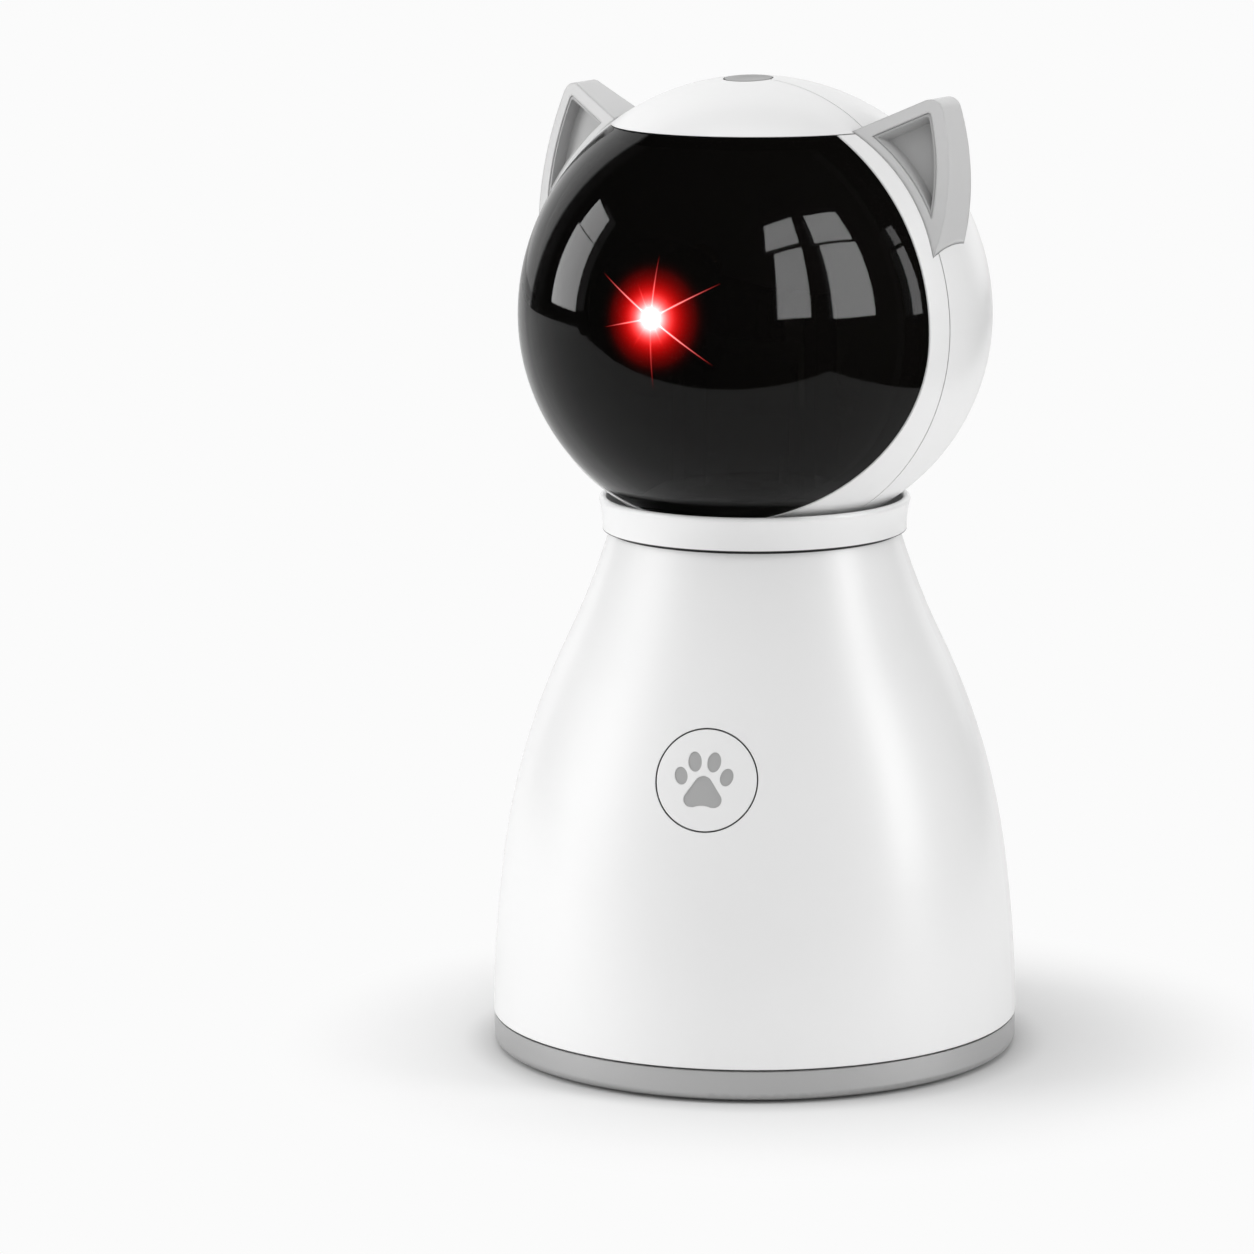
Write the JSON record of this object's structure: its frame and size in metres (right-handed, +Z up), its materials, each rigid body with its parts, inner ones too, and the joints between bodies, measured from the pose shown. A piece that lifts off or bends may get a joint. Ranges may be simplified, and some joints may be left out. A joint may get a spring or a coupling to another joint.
{
  "type": "automatic cat laser toy",
  "caption": "Bell-shaped white stand with a paw button, under a round cat head with grey ears and a dark glossy visor that hides a tilting laser.",
  "frame": {"origin": "on the floor, under the middle of the round stand", "axes": "+Z up along the axis about which the head turns, -Y out of the stand's front, where the paw button is"},
  "size_m": [0.0902, 0.0902, 0.1664],
  "materials": {
    "white_cover": "satin",
    "grey_tray": "matt",
    "ear_grey": "satin",
    "cup_grey": "matt",
    "smoked_visor": "high gloss, dark smoked",
    "print_grey": "matt",
    "crown_metal": "satin",
    "steel": "plain",
    "brass": "plain",
    "gear_plastic": "natural acetal",
    "black_plastic": "matt",
    "board": "solder resist",
    "rubber": "matt",
    "cell_wrap": "shrink wrap",
    "lens_red": "clear, lit red"
  },
  "bodies": {
    "stand": {"base_tray": "grey_tray", "rubber_feet": "rubber", "base_screws": "steel", "body_shell": "white_cover", "neck_collar": "white_cover", "collar_bushing": "brass", "thrust_washer": "gear_plastic", "drive_plate": "black_plastic", "plate_screws": "steel", "pan_motor": "steel", "pan_motor_screws": "steel", "idler_pin": "steel", "main_board": "board", "main_board_screws": "steel", "board_components": "black_plastic", "charging_socket": "steel", "battery_cell": "cell_wrap", "battery_holder": "black_plastic", "battery_contacts": "steel", "paw_board": "board", "paw_board_screws": "steel", "paw_switch": "black_plastic"},
    "head": {"turntable": "black_plastic", "turntable_screws": "steel", "head_gear": "gear_plastic", "gear_clip": "steel", "head_rear_shell": "white_cover", "visor_bezel": "white_cover", "visor": "smoked_visor", "forehead_cap": "white_cover", "ear_left": "ear_grey", "ear_right": "ear_grey", "ear_cup_left": "cup_grey", "ear_cup_right": "cup_grey", "crown_switch": "black_plastic", "crown_board": "board", "crown_board_screws": "steel", "tilt_frame": "black_plastic", "tilt_frame_screws": "steel", "tilt_motor": "steel", "tilt_motor_screws": "steel"},
    "idler": {"idler_gear": "gear_plastic"},
    "neck_pinion": {"pan_motor_shaft": "steel", "pan_pinion": "gear_plastic"},
    "laser": {"laser_cradle": "black_plastic", "sector_gear": "gear_plastic", "laser_barrel": "brass", "laser_lens": "lens_red", "laser_driver": "board"},
    "laser_pinion": {"tilt_motor_shaft": "steel", "tilt_pinion": "gear_plastic"},
    "paw_press": {"paw_button": "white_cover", "paw_print": "print_grey", "paw_plunger": "black_plastic"},
    "crown_press": {"crown_button": "crown_metal", "crown_plunger": "black_plastic"}
  },
  "joints": [
    {"name": "head_pan", "type": "hinge", "parent": "stand", "child": "head", "pos_m": [0, 0, 0.1261], "axis": [0, 0, 1], "range_deg": [-134, 166]},
    {"name": "idler_spin", "type": "hinge", "parent": "stand", "child": "idler", "pos_m": [0.0182, 0, 0.075], "axis": [0, 0, 1], "range_deg": [-555, 448]},
    {"name": "neck_pinion_spin", "type": "hinge", "parent": "stand", "child": "neck_pinion", "pos_m": [0.00971, -0.00849, 0.072], "axis": [0, 0, 1], "range_deg": [-1044, 1293]},
    {"name": "laser_tilt", "type": "hinge", "parent": "head", "child": "laser", "pos_m": [0, 0, 0.1261], "axis": [0.9613, -0.2756, 0], "range_deg": [-12, 28]},
    {"name": "laser_pinion_spin", "type": "hinge", "parent": "head", "child": "laser_pinion", "pos_m": [0.00382, 0.01332, 0.11224], "axis": [0.9613, -0.2756, 0], "range_deg": [-104, 45]},
    {"name": "paw_press_slide", "type": "slide", "parent": "stand", "child": "paw_press", "axis": [0, 0.9561, -0.2931], "range_m": [0, 0.0005], "stiffness_N_per_m": 2500},
    {"name": "crown_press_slide", "type": "slide", "parent": "head", "child": "crown_press", "axis": [0, 0, -1], "range_m": [0, 0.0005], "stiffness_N_per_m": 2500}
  ],
  "couplings": [
    {"joint": "idler_spin", "follows": "head_pan", "ratio": -3.3333},
    {"joint": "neck_pinion_spin", "follows": "head_pan", "ratio": 7.7778},
    {"joint": "laser_pinion_spin", "follows": "laser_tilt", "ratio": -3.6667}
  ]
}
